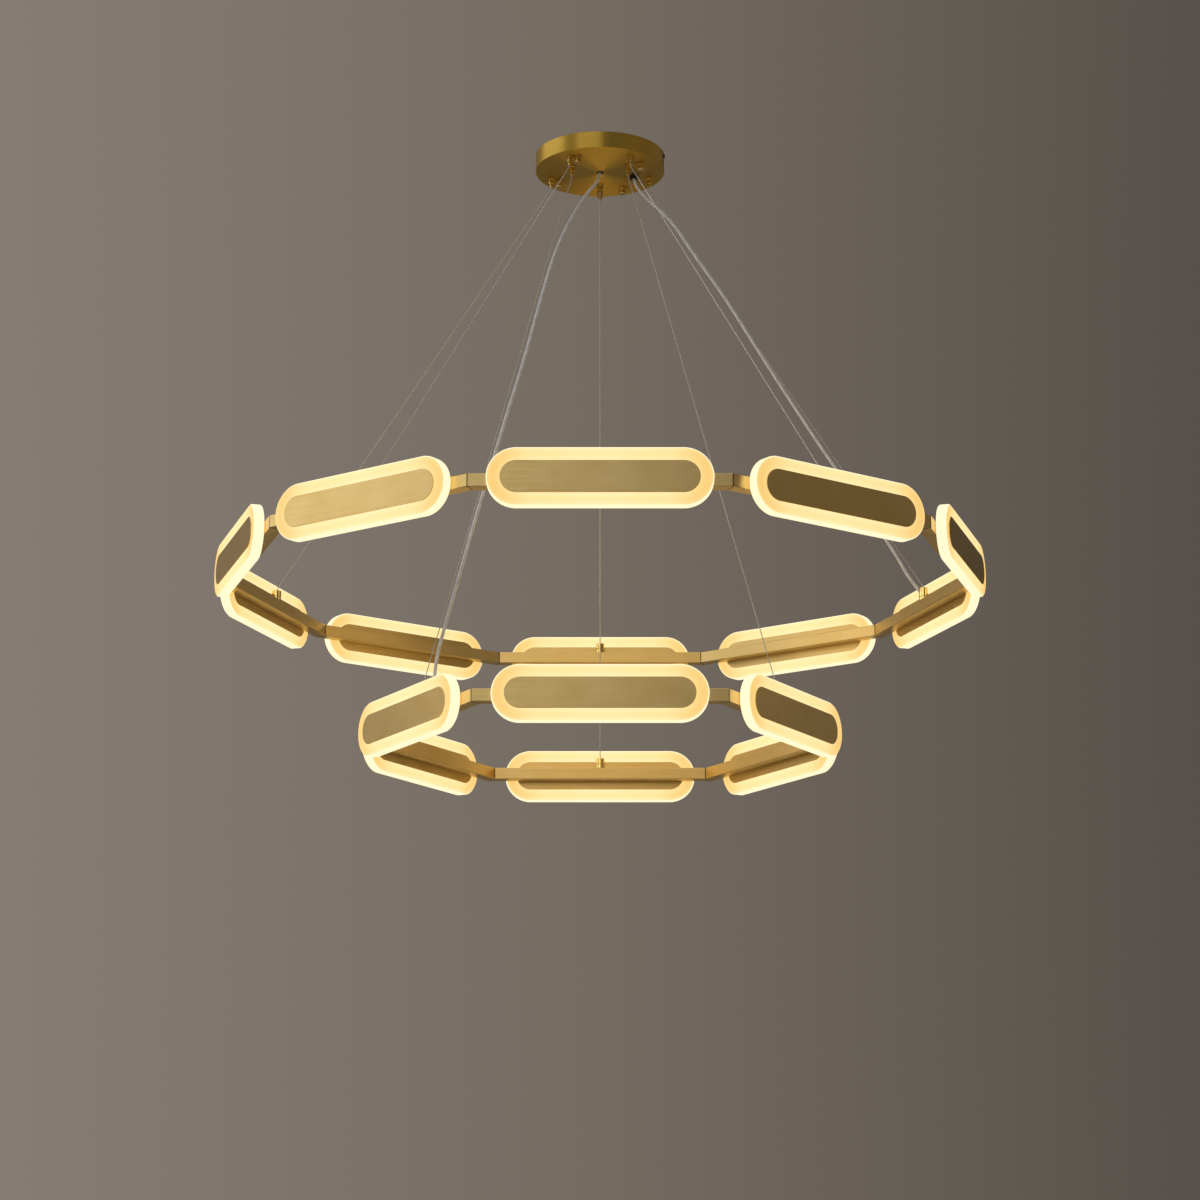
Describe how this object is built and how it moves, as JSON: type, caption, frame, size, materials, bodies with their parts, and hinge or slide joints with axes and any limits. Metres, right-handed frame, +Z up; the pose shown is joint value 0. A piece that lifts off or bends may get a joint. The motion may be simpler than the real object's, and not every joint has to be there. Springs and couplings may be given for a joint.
{
  "type": "ring chandelier",
  "caption": "Two-tier ring chandelier of glowing frosted stadium panels with brass plates on mitred brass bars, hung on thin cables from a round brass canopy.",
  "frame": {"origin": "centre of the ceiling bracket's top face, on the ceiling plane", "axes": "+Z up out of the ceiling, +X to the right and +Y away from the viewer as the fitting is pictured"},
  "size_m": [1.1484, 1.1136, 0.962],
  "materials": {
    "frosted_acrylic": "frosted, edge lit",
    "brushed_brass": "fine brushed along the panel",
    "satin_brass": "satin brushed along the bar",
    "turned_brass": "turned and polished",
    "canopy_brass": "circular brushed",
    "black_screw": "black oxide",
    "steel_cable": "stranded",
    "clear_cord": "milky clear",
    "black_rubber": "matt",
    "zinc_steel": "zinc plated",
    "aluminium": "plain",
    "led_strip": "LED strip",
    "driver_case": "moulded",
    "terminal_plastic": "moulded"
  },
  "bodies": {
    "canopy": {"ceiling_bracket": "zinc_steel", "bracket_studs": "zinc_steel", "canopy_pan": "canopy_brass", "canopy_side_screw": "black_screw", "upper_driver": "driver_case", "lower_driver": "driver_case", "terminal_block": "terminal_plastic", "cord_grommets": "black_rubber", "gripper_bodies": "turned_brass", "gripper_lock_nuts": "turned_brass", "upper_cables": "steel_cable", "lower_cables": "steel_cable", "upper_power_cord": "clear_cord", "lower_power_cord": "clear_cord"},
    "upper_ring": {"upper_back_plates": "brushed_brass", "upper_cable_anchors": "turned_brass", "upper_cord_anchor": "turned_brass", "upper_corner_joiners": "aluminium", "upper_diffuser_01": "frosted_acrylic", "upper_diffuser_02": "frosted_acrylic", "upper_diffuser_03": "frosted_acrylic", "upper_diffuser_04": "frosted_acrylic", "upper_diffuser_05": "frosted_acrylic", "upper_diffuser_06": "frosted_acrylic", "upper_diffuser_07": "frosted_acrylic", "upper_diffuser_08": "frosted_acrylic", "upper_diffuser_09": "frosted_acrylic", "upper_diffuser_10": "frosted_acrylic", "upper_frame_bars": "satin_brass", "upper_front_plates": "brushed_brass", "upper_led_cores": "aluminium", "upper_led_strips": "led_strip", "upper_panel_screws": "zinc_steel"},
    "lower_ring": {"lower_back_plates": "brushed_brass", "lower_cable_anchors": "turned_brass", "lower_cord_anchor": "turned_brass", "lower_corner_joiners": "aluminium", "lower_diffuser_01": "frosted_acrylic", "lower_diffuser_02": "frosted_acrylic", "lower_diffuser_03": "frosted_acrylic", "lower_diffuser_04": "frosted_acrylic", "lower_diffuser_05": "frosted_acrylic", "lower_diffuser_06": "frosted_acrylic", "lower_frame_bars": "satin_brass", "lower_front_plates": "brushed_brass", "lower_led_cores": "aluminium", "lower_led_strips": "led_strip", "lower_panel_screws": "zinc_steel"},
    "cap_nut_1": {"cap_nut_1": "turned_brass"},
    "cap_nut_2": {"cap_nut_2": "turned_brass"},
    "cap_nut_3": {"cap_nut_3": "turned_brass"},
    "cap_nut_4": {"cap_nut_4": "turned_brass"},
    "gripper_plunger_1": {"gripper_plunger_1": "turned_brass"},
    "gripper_plunger_2": {"gripper_plunger_2": "turned_brass"},
    "gripper_plunger_3": {"gripper_plunger_3": "turned_brass"},
    "gripper_plunger_4": {"gripper_plunger_4": "turned_brass"},
    "gripper_plunger_5": {"gripper_plunger_5": "turned_brass"},
    "gripper_plunger_6": {"gripper_plunger_6": "turned_brass"},
    "gripper_plunger_7": {"gripper_plunger_7": "turned_brass"},
    "gripper_plunger_8": {"gripper_plunger_8": "turned_brass"}
  },
  "joints": [
    {"name": "upper_ring_height", "type": "slide", "parent": "canopy", "child": "upper_ring", "axis": [0, 0, 1], "range_m": [0, 0.35], "deforming": ["upper_cables", "upper_power_cord"]},
    {"name": "lower_ring_height", "type": "slide", "parent": "canopy", "child": "lower_ring", "axis": [0, 0, 1], "range_m": [0, 0.2], "deforming": ["lower_cables", "lower_power_cord"]},
    {"name": "cap_nut_1_turn", "type": "hinge", "parent": "canopy", "child": "cap_nut_1", "pos_m": [0.03491, 0.06297, -0.032], "axis": [0, 0, 1], "continuous": true},
    {"name": "cap_nut_2_turn", "type": "hinge", "parent": "canopy", "child": "cap_nut_2", "pos_m": [-0.06297, 0.03491, -0.032], "axis": [0, 0, 1], "continuous": true},
    {"name": "cap_nut_3_turn", "type": "hinge", "parent": "canopy", "child": "cap_nut_3", "pos_m": [-0.03491, -0.06297, -0.032], "axis": [0, 0, 1], "continuous": true},
    {"name": "cap_nut_4_turn", "type": "hinge", "parent": "canopy", "child": "cap_nut_4", "pos_m": [0.06297, -0.03491, -0.032], "axis": [0, 0, 1], "continuous": true},
    {"name": "gripper_1_release", "type": "slide", "parent": "canopy", "child": "gripper_plunger_1", "axis": [0, 0, 1], "range_m": [0, 0.0025], "stiffness_N_per_m": 400, "springref_m": -0.005},
    {"name": "gripper_2_release", "type": "slide", "parent": "canopy", "child": "gripper_plunger_2", "axis": [0, 0, 1], "range_m": [0, 0.0025], "stiffness_N_per_m": 400, "springref_m": -0.005},
    {"name": "gripper_3_release", "type": "slide", "parent": "canopy", "child": "gripper_plunger_3", "axis": [0, 0, 1], "range_m": [0, 0.0025], "stiffness_N_per_m": 400, "springref_m": -0.005},
    {"name": "gripper_4_release", "type": "slide", "parent": "canopy", "child": "gripper_plunger_4", "axis": [0, 0, 1], "range_m": [0, 0.0025], "stiffness_N_per_m": 400, "springref_m": -0.005},
    {"name": "gripper_5_release", "type": "slide", "parent": "canopy", "child": "gripper_plunger_5", "axis": [0, 0, 1], "range_m": [0, 0.0025], "stiffness_N_per_m": 400, "springref_m": -0.005},
    {"name": "gripper_6_release", "type": "slide", "parent": "canopy", "child": "gripper_plunger_6", "axis": [0, 0, 1], "range_m": [0, 0.0025], "stiffness_N_per_m": 400, "springref_m": -0.005},
    {"name": "gripper_7_release", "type": "slide", "parent": "canopy", "child": "gripper_plunger_7", "axis": [0, 0, 1], "range_m": [0, 0.0025], "stiffness_N_per_m": 400, "springref_m": -0.005},
    {"name": "gripper_8_release", "type": "slide", "parent": "canopy", "child": "gripper_plunger_8", "axis": [0, 0, 1], "range_m": [0, 0.0025], "stiffness_N_per_m": 400, "springref_m": -0.005}
  ]
}
